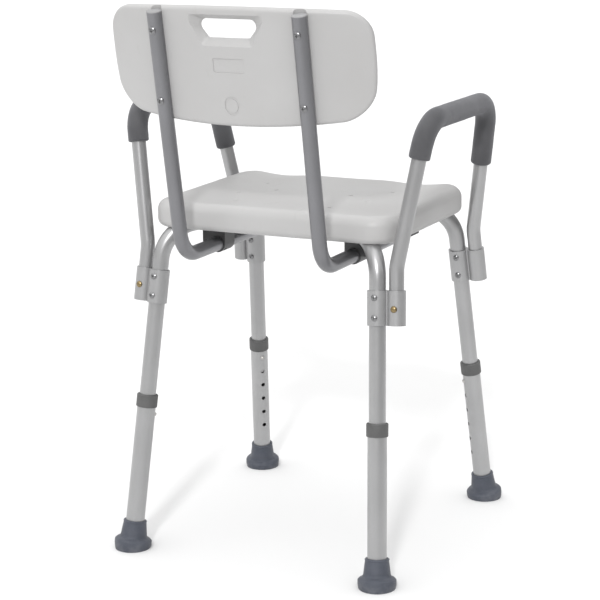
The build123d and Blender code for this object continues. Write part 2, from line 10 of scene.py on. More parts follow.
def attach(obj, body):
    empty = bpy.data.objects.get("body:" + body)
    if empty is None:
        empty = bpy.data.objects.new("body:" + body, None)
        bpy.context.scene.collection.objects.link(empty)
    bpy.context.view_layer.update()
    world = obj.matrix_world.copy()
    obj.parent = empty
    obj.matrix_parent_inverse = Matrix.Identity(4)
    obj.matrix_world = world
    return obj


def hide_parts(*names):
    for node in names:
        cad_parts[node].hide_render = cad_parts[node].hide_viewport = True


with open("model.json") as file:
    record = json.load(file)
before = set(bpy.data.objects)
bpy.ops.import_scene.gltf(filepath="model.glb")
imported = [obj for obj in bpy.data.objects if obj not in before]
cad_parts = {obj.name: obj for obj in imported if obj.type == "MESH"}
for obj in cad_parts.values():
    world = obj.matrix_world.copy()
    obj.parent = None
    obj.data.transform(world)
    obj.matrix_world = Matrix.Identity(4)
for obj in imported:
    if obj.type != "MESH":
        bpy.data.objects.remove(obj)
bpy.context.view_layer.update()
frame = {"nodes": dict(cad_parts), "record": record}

MM = 0.001
NODES = frame["nodes"]
CORNERS = {"rear_left": (1, 1), "rear_right": (-1, 1), "front_right": (-1, -1), "front_left": (1, -1)}
SIDES = {"left": 1, "right": -1}


# ------------------------------------------------------------------ shader helpers
MAP_RANGE = ("From Min", "From Max", "To Min", "To Max")


class Graph:
    """A material's node tree, with short calls that add and join nodes."""

    def __init__(self, name, colour, roughness, metallic=0.0, **sockets):
        self.material = bpy.data.materials.new(name)
        self.material.use_nodes = True
        self.tree = self.material.node_tree
        self.shader = self.tree.nodes["Principled BSDF"]
        self.material.diffuse_color = (*colour, 1.0)
        self.set("Base Color", (*colour, 1.0))
        self.set("Roughness", roughness)
        self.set("Metallic", metallic)
        for socket, value in sockets.items():
            self.set(socket.replace("_", " "), value)
        self.coordinates = self.tree.nodes.new("ShaderNodeTexCoord").outputs["Object"]

    def set(self, socket, value):
        self.shader.inputs[socket].default_value = value

    def node(self, kind, **inputs):
        made = self.tree.nodes.new("ShaderNode" + kind)
        for name, value in inputs.items():
            socket = made.inputs[name.replace("_", " ")]
            if isinstance(value, bpy.types.NodeSocket):
                self.tree.links.new(value, socket)
            else:
                socket.default_value = value
        return made

    def noise(self, scale, detail=2.0, roughness=0.5, stretch=None):
        """Noise in metres: scale is how many grains there are in a metre."""
        where = self.coordinates
        if stretch:
            where = self.node("Mapping", Vector=where, Scale=stretch).outputs["Vector"]
        made = self.node("TexNoise", Vector=where, Scale=scale, Detail=detail, Roughness=roughness)
        return made.outputs["Fac"]

    def spread(self, value, low, high, out_low=0.0, out_high=1.0):
        """Value stretched from low...high to out_low...out_high, and held at the ends."""
        made = self.node("MapRange", Value=value)
        for socket, number in zip(MAP_RANGE, (low, high, out_low, out_high)):
            made.inputs[socket].default_value = number
        return made.outputs["Result"]

    def maths(self, operation, a, b):
        made = self.tree.nodes.new("ShaderNodeMath")
        made.operation = operation
        for socket, value in zip(made.inputs, (a, b)):
            if isinstance(value, bpy.types.NodeSocket):
                self.tree.links.new(value, socket)
            else:
                socket.default_value = value
        return made.outputs["Value"]

    def mix(self, share, a, b):
        made = self.tree.nodes.new("ShaderNodeMix")
        made.data_type = "RGBA"
        for socket, value in ((made.inputs[0], share), (made.inputs[6], a), (made.inputs[7], b)):
            if isinstance(value, bpy.types.NodeSocket):
                self.tree.links.new(value, socket)
            elif isinstance(value, tuple):
                socket.default_value = (*value, 1.0)
            else:
                socket.default_value = value
        return made.outputs[2]

    def edges(self, low=0.52, high=0.62):
        """Where the surface is convex: 0 on flat parts and 1 on edges that wear."""
        return self.spread(self.tree.nodes.new("ShaderNodeNewGeometry").outputs["Pointiness"], low, high)

    def join(self, output, socket):
        self.tree.links.new(output, self.shader.inputs[socket])

    def bump(self, height, distance, strength=1.0):
        made = self.node("Bump", Height=height, Distance=distance, Strength=strength)
        self.join(made.outputs["Normal"], "Normal")


def tinted(colour, factor):
    return tuple(min(1.0, c * factor) for c in colour)


# ------------------------------------------------------------------ materials
def moulded_polyethylene():
    """Off-white blow-moulded plastic: pebbled, satin, a little uneven, with faint scuffs."""
    g = Graph("moulded_polyethylene", (0.438, 0.433, 0.431), 0.46, IOR=1.5)
    cloud = g.noise(9.0, 3.0)
    pebble = g.noise(780.0, 2.0, 0.6)
    orange_peel = g.noise(150.0, 2.0)
    scuff = g.noise(55.0, 4.0, 0.7, stretch=(1.0, 0.16, 0.5))
    scuffed = g.spread(scuff, 0.63, 0.72)
    tone = g.mix(g.spread(cloud, 0.3, 0.7), (0.428, 0.423, 0.420), (0.452, 0.449, 0.447))
    tone = g.mix(g.maths("MULTIPLY", scuffed, 0.35), tone, (0.40, 0.39, 0.38))
    g.join(tone, "Base Color")
    rough = g.maths("ADD", pebble, g.maths("MULTIPLY", scuffed, 0.3))
    g.join(g.spread(rough, 0.3, 1.0, 0.40, 0.58), "Roughness")
    g.bump(g.maths("ADD", g.maths("MULTIPLY", pebble, 0.35), orange_peel), 0.00012, 0.6)
    return g.material


def drawn_aluminium(name, colour, roughness, metallic, fine=1.0):
    """Satin anodised tube: drawing lines along the tube, and a slow change of tone."""
    g = Graph(name, colour, roughness, metallic, Specular_IOR_Level=0.15)
    cloud = g.noise(14.0, 2.0)
    grain = g.noise(2600.0 * fine, 2.0, 0.6)
    lines = g.noise(1500.0 * fine, 2.0, 0.5, stretch=(1.0, 1.0, 0.012))
    handled = g.spread(g.noise(30.0, 5.0, 0.65, stretch=(1.0, 1.0, 0.45)), 0.56, 0.7)
    tone = g.mix(g.spread(cloud, 0.3, 0.7), tinted(colour, 0.95), tinted(colour, 1.04))
    tone = g.mix(g.maths("MULTIPLY", g.spread(lines, 0.35, 0.65), 0.18), tone, tinted(colour, 0.82))
    tone = g.mix(g.maths("MULTIPLY", handled, 0.25), tone, tinted(colour, 0.88))
    g.join(tone, "Base Color")
    rough = g.maths("ADD", g.maths("MULTIPLY", grain, 0.10), g.maths("MULTIPLY", handled, 0.07))
    g.join(g.spread(rough, 0.0, 0.17, roughness - 0.06, roughness + 0.09), "Roughness")
    g.bump(g.maths("ADD", g.maths("MULTIPLY", lines, 0.6), grain), 0.00002, 0.5)
    return g.material


def closed_cell_foam():
    """Dark grey foam grip: matt, finely pored, with painted shade in the pores and a soft dusty sheen."""
    g = Graph("closed_cell_foam", (0.083, 0.083, 0.088), 0.88, IOR=1.4)
    g.set("Sheen Weight", 0.35)
    g.set("Sheen Roughness", 0.5)
    g.set("Sheen Tint", (0.75, 0.76, 0.8, 1.0))
    pores = g.node("TexVoronoi", Vector=g.coordinates, Scale=1500.0).outputs["Distance"]
    grain = g.noise(2400.0, 3.0, 0.65)
    cloud = g.noise(28.0, 3.0)
    tone = g.mix(g.spread(cloud, 0.3, 0.7), (0.072, 0.072, 0.077), (0.094, 0.094, 0.099))
    # painted shade: the colour darkens inside the pores, where shade falls
    painted_pore_shade = g.spread(pores, 0.0, 0.4, 1.0, 0.0)
    tone = g.mix(g.maths("MULTIPLY", painted_pore_shade, 0.5), tone, (0.06, 0.06, 0.064))
    g.join(tone, "Base Color")
    g.join(g.spread(grain, 0.3, 0.7, 0.8, 0.95), "Roughness")
    g.bump(g.maths("ADD", pores, g.maths("MULTIPLY", grain, 0.7)), 0.00018, 0.75)
    return g.material


def moulded_rubber():
    """Blue-grey rubber foot: matt, finely pitted, dusty and scuffed towards the floor."""
    g = Graph("moulded_rubber", (0.055, 0.061, 0.080), 0.62, IOR=1.5)
    g.set("Sheen Weight", 0.12)
    grain = g.noise(1900.0, 3.0, 0.6)
    cloud = g.noise(60.0, 4.0, 0.6)
    height = g.node("SeparateXYZ", Vector=g.coordinates).outputs["Z"]
    dusty = g.maths("MULTIPLY", g.spread(height, 0.0, 0.02, 1.0, 0.15), g.spread(cloud, 0.42, 0.68))
    tone = g.mix(g.spread(cloud, 0.3, 0.7), (0.048, 0.054, 0.071), (0.060, 0.067, 0.087))
    tone = g.mix(g.maths("MULTIPLY", dusty, 0.4), tone, (0.17, 0.175, 0.19))
    g.join(tone, "Base Color")
    g.join(g.spread(grain, 0.3, 0.7, 0.54, 0.72), "Roughness")
    g.bump(g.maths("ADD", grain, g.maths("MULTIPLY", cloud, 0.5)), 0.00008, 0.6)
    return g.material


def moulded_plastic(name, colour, roughness, worn):
    """Dark moulded plastic with a spark-eroded grain; its edges are rubbed a little lighter."""
    g = Graph(name, colour, roughness, IOR=1.5)
    grain = g.noise(2100.0, 2.0, 0.6)
    cloud = g.noise(45.0, 3.0)
    tone = g.mix(g.spread(cloud, 0.3, 0.7), tinted(colour, 0.9), tinted(colour, 1.12))
    tone = g.mix(g.maths("MULTIPLY", g.edges(), 0.4), tone, worn)
    g.join(tone, "Base Color")
    g.join(g.spread(grain, 0.3, 0.7, roughness - 0.07, roughness + 0.08), "Roughness")
    g.bump(grain, 0.00005, 0.5)
    return g.material


def plated_metal(name, colour, roughness, stained, stain_share):
    """Small plated or bare metal parts: bright, with fine turning marks and dull spots."""
    g = Graph(name, colour, roughness, 1.0)
    grain = g.noise(5200.0, 2.0, 0.6)
    spots = g.spread(g.noise(420.0, 4.0, 0.6), 0.5, 0.72)
    g.join(g.mix(g.maths("MULTIPLY", spots, stain_share), colour, stained), "Base Color")
    rough = g.maths("ADD", g.maths("MULTIPLY", grain, 0.5), g.maths("MULTIPLY", spots, 0.6))
    g.join(g.spread(rough, 0.1, 0.9, roughness - 0.05, roughness + 0.16), "Roughness")
    g.bump(grain, 0.00002, 0.5)
    return g.material


MATERIALS = {
    "seat_plastic": moulded_polyethylene(),
    "frame_aluminium": drawn_aluminium("anodised_aluminium", (0.415, 0.415, 0.418), 0.34, 0.7),
    "clamp_aluminium": drawn_aluminium("extruded_aluminium", (0.40, 0.40, 0.403), 0.38, 0.6, fine=0.7),
    "backrest_tube_grey": drawn_aluminium("grey_anodised_tube", (0.235, 0.235, 0.246), 0.34, 0.7),
    "cap_plastic": moulded_plastic("grey_plug_plastic", (0.27, 0.27, 0.275), 0.45, (0.4,) * 3),
    "grip_foam": closed_cell_foam(),
    "collar_plastic": moulded_plastic("collar_plastic", (0.088,) * 3, 0.5, (0.2,) * 3),
    "foot_rubber": moulded_rubber(),
    "bracket_plastic": moulded_plastic("bracket_plastic", (0.035, 0.035, 0.037), 0.45, (0.11,) * 3),
    "screw_zinc": plated_metal("bright_zinc", (0.26, 0.26, 0.265), 0.30, (0.14, 0.138, 0.135), 0.5),
    "button_brass": plated_metal("dull_brass", (0.29, 0.22, 0.115), 0.3, (0.20, 0.15, 0.09), 0.6),
    "button_steel": plated_metal("plain_steel", (0.56, 0.55, 0.53), 0.3, (0.3, 0.28, 0.26), 0.5),
    "spring_steel": plated_metal("blued_spring_steel", (0.27, 0.28, 0.31), 0.34, (0.16, 0.13, 0.11), 0.4),
}
SLOT_OF = {part["node"]: part["material_slot"] for part in frame["record"]["subparts"]}


def wear(piece, slot_name):
    """Give a piece the material of a record slot, and nothing else."""
    piece.data.materials.clear()
    piece.data.materials.append(MATERIALS[slot_name])


for node_name, node in NODES.items():
    wear(node, SLOT_OF[node_name])


# ------------------------------------------------------------------ where things are
LEG_CENTRE_Y = -0.01542                            # the legs' middle, as in the frame
FOOT_X, FOOT_Y = 0.2070, 0.2235                    # a leg's axis at the floor, from the legs' middle
CLAMP_X, CLAMP_Y, CLAMP_Z = 0.1840, 0.1670, 0.3804     # the same axis at the bottom of its clamp


def leg_point(corner, z):
    side, end = CORNERS[corner]
    t = z / CLAMP_Z
    x = FOOT_X + (CLAMP_X - FOOT_X) * t
    y = FOOT_Y + (CLAMP_Y - FOOT_Y) * t
    return Vector((side * x, LEG_CENTRE_Y + end * y, z))


def leg_up(corner):
    return (leg_point(corner, CLAMP_Z) - leg_point(corner, 0.0)).normalized()


# ------------------------------------------------------------------ shape helpers
def rounded(corners, radii, steps=6):
    """Corner points, flat or in space, with an arc in place of each corner that has a radius."""
    out = []
    for i, (corner, radius) in enumerate(zip(corners, radii)):
        if radius == 0:
            out.append(corner.copy())
            continue
        before = (corners[i - 1] - corner).normalized()
        after = (corners[(i + 1) % len(corners)] - corner).normalized()
        half = before.angle(after) / 2
        centre = corner + (before + after).normalized() * (radius / math.sin(half))
        start = corner + before * (radius / math.tan(half)) - centre
        end = corner + after * (radius / math.tan(half)) - centre
        swing = start.angle(end)
        for step in range(steps + 1):
            t = step / steps
            swung = start * math.sin((1 - t) * swing) + end * math.sin(t * swing)
            out.append(centre + swung / math.sin(swing))
    return out


def make_piece(name, bm, slot_name, body, nodes=(), sharp=38.0):
    """Turn a bmesh into a smooth-shaded piece that rides on a body and stands for CAD nodes."""
    bmesh.ops.recalc_face_normals(bm, faces=bm.faces)
    mesh = bpy.data.meshes.new(name)
    bm.to_mesh(mesh)
    bm.free()
    mesh.shade_smooth()
    mesh.set_sharp_from_angle(angle=math.radians(sharp))
    piece = bpy.data.objects.new(name, mesh)
    bpy.context.scene.collection.objects.link(piece)
    wear(piece, slot_name)
    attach(piece, body)
    if nodes:
        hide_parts(*nodes)
    return piece


def bridge(bm, ring, following):
    """Faces between two rings of vertices; either may be a single point."""
    count = max(len(ring), len(following))
    for k in range(count):
        after = (k + 1) % count
        if len(ring) == 1:
            bm.faces.new((ring[0], following[after], following[k]))
        elif len(following) == 1:
            bm.faces.new((ring[k], ring[after], following[0]))
        else:
            bm.faces.new((ring[k], ring[after], following[after], following[k]))


def turn(bm, profile, origin, axis, closed=False, segments=64):
    """Revolve a profile of (radius, distance along the axis); an open one starts and ends on the axis."""
    basis = axis.to_track_quat("Z", "Y").to_matrix()
    rings = []
    for radius, height in profile:
        if radius < 1e-7:
            rings.append([bm.verts.new(origin + axis * height)])
            continue
        ring = []
        for k in range(segments):
            a = 2 * math.pi * k / segments
            flat = Vector((radius * math.cos(a), radius * math.sin(a), height))
            ring.append(bm.verts.new(origin + basis @ flat))
        rings.append(ring)
    for ring, following in zip(rings, rings[1:]):
        bridge(bm, ring, following)
    if closed:
        bridge(bm, rings[-1], rings[0])


def mm_profile(points, steps=5):
    """Profile in metres from (radius, height, corner radius) points in millimetres."""
    corners = [Vector((p[0] * MM, p[1] * MM)) for p in points]
    return [tuple(v) for v in rounded(corners, [p[2] * MM for p in points], steps)]


# ------------------------------------------------------------------ feet
FOOT_BOOT = (                                      # radius, height and corner radius in millimetres
    (0, -6, 0), (25.6, -6, 0), (27.6, 0.4, 1.2), (28.7, 6.5, 4), (28.6, 12.6, 1.4), (25.9, 15.3, 1.6),
    (21.6, 17.2, 2.4), (20.3, 20.5, 2.0), (17.7, 40.6, 0.6), (18.1, 41.4, 0.3), (18.0, 43.0, 0.8),
    (16.6, 44.0, 0.5), (14.6, 44.0, 0.3), (14.35, 43.2, 0), (14.35, 9.0, 0), (0, 9.0, 0),
)
SOLE_RIM, SOLE_GROOVE, SOLE_HOLLOW = 0.0035, 0.0025, 0.0012


def make_foot(corner):
    """Rubber boot with a rolled lip, a drooping flange and a hollowed sole, cut flat at the floor."""
    bm = bmesh.new()
    turn(bm, mm_profile(FOOT_BOOT), leg_point(corner, 0.0), leg_up(corner), segments=96)
    everything = bm.verts[:] + bm.edges[:] + bm.faces[:]
    floor_cut = bmesh.ops.bisect_plane(
        bm, geom=everything, plane_co=(0, 0, 0), plane_no=(0, 0, -1), clear_outer=True
    )
    rim = [e for e in floor_cut["geom_cut"] if isinstance(e, bmesh.types.BMEdge)]
    sole = bmesh.ops.edgenet_fill(bm, edges=rim)["faces"]
    bmesh.ops.inset_region(bm, faces=sole, thickness=SOLE_RIM)
    bmesh.ops.inset_region(bm, faces=sole, thickness=SOLE_GROOVE)
    bmesh.ops.translate(bm, verts=list({v for f in sole for v in f.verts}), vec=(0, 0, SOLE_HOLLOW))
    make_piece(f"rubber_boot_{corner}", bm, "foot_rubber", f"leg_{corner}", [f"rubber_foot_{corner}"])


# ------------------------------------------------------------------ collars
COLLAR_TOP_Z = 0.2376
COLLAR_RING = (
    (14.35, -17.8, 0), (15.5, -17.8, 0.4), (16.3, -16.9, 0.5), (16.3, 1.0, 0.9), (15.2, 2.2, 0.7),
    (13.2, 2.2, 0.3), (12.6, 1.5, 0), (12.6, 0.05, 0), (14.35, 0.05, 0),
)


def make_collar(corner):
    """Moulded ring over the mouth of the outer leg tube."""
    bm = bmesh.new()
    at = leg_point(corner, COLLAR_TOP_Z)
    turn(bm, mm_profile(COLLAR_RING), at, leg_up(corner), closed=True, segments=80)
    make_piece(f"collar_ring_{corner}", bm, "collar_plastic", f"leg_{corner}", [f"leg_collar_{corner}"])


for corner in CORNERS:
    make_foot(corner)
    make_collar(corner)


# ------------------------------------------------------------------ armrest grips
ARM_OUT, ARM_FORWARD = 0.0278, 0.0050              # arm sleeve's axis from the leg's axis
ARM_KINK_Z, ARM_TOP_Z, ARM_SPLAY, ARM_CORNER_R = 0.465, 0.674, 0.16, 0.046
ARM_R = 0.0110
GRIP_R, GRIP_REAR_Z, GRIP_FRONT_Z = 0.0159, 0.620, 0.574
GRIP_PLAY, GRIP_LIP, GRIP_END_R, GRIP_SPACING = 0.00005, 0.0008, 0.0032, 0.0035
DENT, FINE_DENT = 0.00022, 0.00010                 # how uneven the foam is
CRUMPLE, CRUMPLE_PITCH, CRUMPLE_REACH = 0.00035, 0.0062, 0.05


def arm_point(corner, z):
    return leg_point(corner, z) + Vector((CORNERS[corner][0] * ARM_OUT, -ARM_FORWARD, 0.0))


def grip_route(word):
    """Middle line of a grip, with rounded corners, from its rear end over the top to its front end."""
    rear, front = f"rear_{word}", f"front_{word}"
    top_x = SIDES[word] * (abs(arm_point(rear, ARM_KINK_Z).x) + ARM_SPLAY * (ARM_TOP_Z - ARM_KINK_Z))
    rear_top = Vector((top_x, arm_point(rear, ARM_TOP_Z).y, ARM_TOP_Z))
    front_top = Vector((top_x, arm_point(front, ARM_TOP_Z).y, ARM_TOP_Z))
    ends = []
    for corner, top, z in ((rear, rear_top, GRIP_REAR_Z), (front, front_top, GRIP_FRONT_Z)):
        kink = arm_point(corner, ARM_KINK_Z)
        ends.append(kink + (top - kink) * ((z - ARM_KINK_Z) / (ARM_TOP_Z - ARM_KINK_Z)))
    return rounded([ends[0], rear_top, front_top, ends[1]], [0, ARM_CORNER_R, ARM_CORNER_R, 0], steps=24)


def walker(points):
    """How long a route is, and a function that gives the place and the heading at a distance along it."""
    reach = [0.0]
    for a, b in zip(points, points[1:]):
        reach.append(reach[-1] + (b - a).length)

    def at(distance):
        k = 0
        while k < len(points) - 2 and reach[k + 1] < distance:
            k += 1
        step = (points[k + 1] - points[k]).normalized()
        return points[k] + step * (distance - reach[k]), step

    return reach[-1], at


def make_grip(word):
    """Foam sleeve with rounded ends, a little uneven, and crumpled inside its two bends."""
    route = grip_route(word)
    length, at = walker(route)
    square = (route[1] - route[0]).cross(route[-1] - route[0]).normalized()
    bore, end_r, segments = ARM_R + GRIP_PLAY, GRIP_END_R, 64
    stations = [(bore, 0.0006), (bore + GRIP_LIP, 0.0)]
    for step in range(7):
        a = math.pi / 2 * step / 6
        stations.append((GRIP_R - end_r * (1 - math.sin(a)), end_r * (1 - math.cos(a))))
    count = round((length - 2 * end_r) / GRIP_SPACING)
    middle = [(GRIP_R, end_r + (length - 2 * end_r) * k / count) for k in range(1, count)]
    back = [(bore, distance) for _, distance in reversed(middle)]
    stations = stations + middle + [(r, length - s) for r, s in reversed(stations)] + back
    bm = bmesh.new()
    rings = []
    for radius, distance in stations:
        place, heading = at(distance)
        out = heading.cross(square)
        foam = (radius - bore) / (GRIP_R - bore)
        nearest = min((place - bend).length for bend in (route[13], route[-14]))
        bent = max(0.0, 1.0 - nearest / CRUMPLE_REACH)
        ring = []
        for k in range(segments):
            a = 2 * math.pi * k / segments
            ray = out * math.cos(a) + square * math.sin(a)
            spot = place + ray * radius
            dent = DENT * mathnoise.noise(spot * 60.0) + FINE_DENT * mathnoise.noise(spot * 210.0)
            inside = max(0.0, -math.cos(a))
            fold = 0.5 + 0.5 * math.cos(distance / CRUMPLE_PITCH * 2 * math.pi)
            crumple = -CRUMPLE * bent * inside * fold
            ring.append(bm.verts.new(spot + ray * foam * (dent + crumple)))
        rings.append(ring)
    for ring, following in zip(rings, rings[1:]):
        bridge(bm, ring, following)
    bridge(bm, rings[-1], rings[0])
    nodes = [f"armrest_grip_{word}"]
    grip = make_piece(f"foam_grip_{word}", bm, "grip_foam", f"armrest_{word}", nodes, sharp=60.0)


for word in SIDES:
    make_grip(word)


# ------------------------------------------------------------------ moulded shells
def plate_loop(inset, half_x, half_y, radii, counts):
    """Rounded rectangle, drawn in from its outline by inset, with the same points at every inset."""
    n_long, n_short, n_corner = counts
    x, y = half_x - inset, half_y - inset
    r = [max(radius - inset, 0.003) for radius in radii]     # low right, top right, top left, low left
    sides = (
        (Vector((-x + r[3], -y)), Vector((x - r[0], -y)), n_long),
        (Vector((x, -y + r[0])), Vector((x, y - r[1])), n_short),
        (Vector((x - r[1], y)), Vector((-x + r[2], y)), n_long),
        (Vector((-x, y - r[2])), Vector((-x, -y + r[3])), n_short),
    )
    middles = ((x - r[0], -y + r[0]), (x - r[1], y - r[1]), (-x + r[2], y - r[2]), (-x + r[3], -y + r[3]))
    loop = []
    for k, (start, end, count) in enumerate(sides):
        loop += [start.lerp(end, i / count) for i in range(count + 1)]
        for i in range(1, n_corner):
            a = math.pi / 2 * (k - 1 + i / n_corner)
            loop.append(Vector(middles[k]) + Vector((math.cos(a), math.sin(a))) * r[k])
    return loop


def plate(rings, half_x, half_y, radii, counts, place):
    """Closed shell through rings of (inset, height), put in space by place(x, y, height)."""
    bm = bmesh.new()
    loops = []
    for inset, height in rings:
        flat = plate_loop(inset, half_x, half_y, radii, counts)
        loops.append([bm.verts.new(place(p.x, p.y, height)) for p in flat])
    for loop, following in zip(loops, loops[1:]):
        bridge(bm, loop, following)
    n_long, n_short, n_corner = counts
    top = n_long + 1 + 2 * (n_corner - 1) + n_short + 1
    for loop in (loops[0], loops[-1]):
        for i in range(n_long):
            bm.faces.new((loop[i], loop[i + 1], loop[top + n_long - i - 1], loop[top + n_long - i]))
        bm.faces.new(loop[n_long:top + 1])
        bm.faces.new(loop[top + n_long:] + loop[:1])
    bmesh.ops.recalc_face_normals(bm, faces=bm.faces)
    return bm


def quarter(inset_start, height_start, inset_end, height_end, steps=6):
    """Rings round a rounded edge: from a face's rim out to the wall, or from the wall in to a rim."""
    out = []
    outward = inset_end < inset_start
    for step in range(1, steps):
        a = math.pi / 2 * step / steps
        first, last = math.sin(a), 1 - math.cos(a)
        inset = inset_start + (inset_end - inset_start) * (first if outward else last)
        height = height_start + (height_end - height_start) * (last if outward else first)
        out.append((inset, height))
    return out


def loose(bm, name="tool"):
    mesh = bpy.data.meshes.new(name)
    bmesh.ops.recalc_face_normals(bm, faces=bm.faces)
    bm.to_mesh(mesh)
    bm.free()
    tool = bpy.data.objects.new(name, mesh)
    bpy.context.scene.collection.objects.link(tool)
    return tool


def combine(target, tool, operation="DIFFERENCE"):
    """Cut, join or intersect target with tool for good, and throw the tool away."""
    modifier = target.modifiers.new("combine", "BOOLEAN")
    modifier.operation = operation
    modifier.solver = "EXACT"
    modifier.object = tool
    bpy.context.view_layer.update()
    result = bpy.data.meshes.new_from_object(target.evaluated_get(bpy.context.evaluated_depsgraph_get()))
    target.modifiers.clear()
    target.data = result
    bpy.data.objects.remove(tool)


def copied(node_name):
    """A CAD node's mesh as a closed solid of its own."""
    bm = bmesh.new()
    bm.from_mesh(NODES[node_name].data)
    bmesh.ops.remove_doubles(bm, verts=bm.verts, dist=1e-6)
    return loose(bm, node_name + "_copy")


def rod(origin, axis, radius, start, end, segments=48):
    bm = bmesh.new()
    turn(bm, [(0, start), (radius, start), (radius, end), (0, end)], origin, axis, segments=segments)
    return loose(bm)


def finished(solid, name, slot_name, body, nodes, sharp=38.0):
    """Turn a loose solid into a piece."""
    bm = bmesh.new()
    bm.from_mesh(solid.data)
    bpy.data.objects.remove(solid)
    bmesh.ops.remove_doubles(bm, verts=bm.verts, dist=2e-6)
    bmesh.ops.dissolve_degenerate(bm, edges=bm.edges, dist=2e-6)
    return make_piece(name, bm, slot_name, body, nodes, sharp)


def smooth_step(value, low, high):
    t = min(1.0, max(0.0, (value - low) / (high - low)))
    return t * t * (3 - 2 * t)


# ------------------------------------------------------------------ seat
SEAT_X, SEAT_Y, SEAT_CORNER_R = 0.400, 0.318, 0.042
SEAT_LOW_Z, SEAT_TOP_Z = 0.495, 0.536
SEAT_TOP_EDGE_R, SEAT_LOW_EDGE_R = 0.016, 0.011
SEAT_RIM, SEAT_SKIN = 0.0105, 0.008                # what is kept of the shell round the ribbed inside
SEAT_UNEVEN, SEAT_WAVES = 0.00012, 22.0            # how uneven the moulding is, and waves in a metre
THIGH_X, THIGH_WIDTH, THIGH_DEPTH = 0.115, 0.034, 0.0032
RIDGE_X, RIDGE_WIDTH, RIDGE_HEIGHT = 0.172, 0.018, 0.0016
MIDDLE_WIDTH, MIDDLE_DEPTH = 0.05, 0.0008
BASIN_X, BASIN_Y, BASIN_DEPTH = 0.17, 0.13, 0.0018
FRAME_Z, FRAME_BEND_R, CLEARANCE_R = 0.500, 0.0625, 0.0131
BEND_FROM, BEND_TO_Z = 0.8, 0.42                   # where the bend's clearance starts and ends
DRAINS = ((0.078, 0.102), (0.109, 0.034), (0.064, -0.007), (0.109, -0.065))
DRAIN_R, DRAIN_START_Z = 0.003, 0.52


def seat_contour(x, y):
    """How far the seat's top is raised or hollowed: two thigh rests at the front and a shallow basin."""
    across = abs(x)
    front = smooth_step(-y, -0.07, 0.12)
    thigh = -THIGH_DEPTH * math.exp(-((across - THIGH_X) / THIGH_WIDTH) ** 2)
    middle = MIDDLE_DEPTH * math.exp(-(across / MIDDLE_WIDTH) ** 2)
    ridge = RIDGE_HEIGHT * math.exp(-((across - RIDGE_X) / RIDGE_WIDTH) ** 2) - middle
    basin = -BASIN_DEPTH * max(0.0, 1 - (x / BASIN_X) ** 2) * max(0.0, 1 - (y / BASIN_Y) ** 2)
    return front * (thigh + ridge) + basin


def seat_place(x, y, z):
    share = smooth_step(z, SEAT_LOW_Z + SEAT_LOW_EDGE_R, SEAT_TOP_Z - 0.002)
    uneven = SEAT_UNEVEN * mathnoise.noise(Vector((x, y, z)) * SEAT_WAVES)
    return Vector((x, LEG_CENTRE_Y + y, z + share * seat_contour(x, y) + uneven))


def bend_rod(corner):
    """Rod a little fatter than a frame tube, where the tube bends down under the seat's rim."""
    top = leg_point(corner, FRAME_Z)
    start = Vector((0.0, LEG_CENTRE_Y, FRAME_Z)).lerp(top, BEND_FROM)
    route = rounded([start, top, leg_point(corner, BEND_TO_Z)], [0, FRAME_BEND_R, 0], steps=20)
    square = (top - start).cross(route[-1] - top).normalized()
    bm = bmesh.new()
    rings = []
    for k, spot in enumerate(route):
        heading = (route[min(k + 1, len(route) - 1)] - route[max(k - 1, 0)]).normalized()
        out = heading.cross(square)
        ring = []
        for n in range(64):
            a = 2 * math.pi * n / 64
            ring.append(bm.verts.new(spot + (out * math.cos(a) + square * math.sin(a)) * CLEARANCE_R))
        rings.append(ring)
    for ring, following in zip(rings, rings[1:]):
        bridge(bm, ring, following)
    bm.faces.new(rings[0])
    bm.faces.new(rings[-1])
    return loose(bm)


def make_seat():
    """Moulded seat: contoured top, full round edges, and an open ribbed underside with drains."""
    low_z, high_z = SEAT_LOW_Z + SEAT_LOW_EDGE_R, SEAT_TOP_Z - SEAT_TOP_EDGE_R
    rings = [(0.030, SEAT_LOW_Z), (0.018, SEAT_LOW_Z), (SEAT_LOW_EDGE_R, SEAT_LOW_Z)]
    rings += quarter(SEAT_LOW_EDGE_R, SEAT_LOW_Z, 0.0, low_z)
    rings += [(0.0, low_z), (0.0, SEAT_LOW_Z + 0.018), (0.0, high_z)]
    rings += quarter(0.0, high_z, SEAT_TOP_EDGE_R, SEAT_TOP_Z, steps=8)
    rings += [(SEAT_TOP_EDGE_R + 0.0065 * k, SEAT_TOP_Z) for k in range(22)]
    radii = [SEAT_CORNER_R] * 4
    seat = loose(plate(rings, SEAT_X / 2, SEAT_Y / 2, radii, (52, 38, 12), seat_place), "seat_solid")

    # the ribs and bosses underneath are the frame's own
    inside = [(0.0, SEAT_LOW_Z - 0.004), (0.0, SEAT_TOP_Z - SEAT_SKIN)]
    half_x, half_y = SEAT_X / 2 - SEAT_RIM, SEAT_Y / 2 - SEAT_RIM
    pockets = loose(plate(
        inside, half_x, half_y, [SEAT_CORNER_R - SEAT_RIM] * 4, (1, 1, 8),
        lambda x, y, z: Vector((x, LEG_CENTRE_Y + y, z)),
    ))
    combine(pockets, copied("seat_panel"))
    combine(seat, pockets)
    for corner in CORNERS:
        combine(seat, bend_rod(corner))
    for x, y in DRAINS:
        top_z = SEAT_TOP_Z + seat_contour(x, y)
        profile = [
            (0, DRAIN_START_Z), (DRAIN_R, DRAIN_START_Z), (DRAIN_R, top_z - 0.0016),
            (DRAIN_R + 0.0004, top_z - 0.0006), (DRAIN_R + 0.0015, top_z + 0.0002),
            (DRAIN_R + 0.006, top_z + 0.003), (0, top_z + 0.003),
        ]
        for side in SIDES.values():
            bm = bmesh.new()
            turn(bm, profile, Vector((side * x, LEG_CENTRE_Y + y, 0.0)), Vector((0, 0, 1)), segments=32)
            combine(seat, loose(bm))
    finished(seat, "moulded_seat", "seat_plastic", "frame", ["seat_panel"])


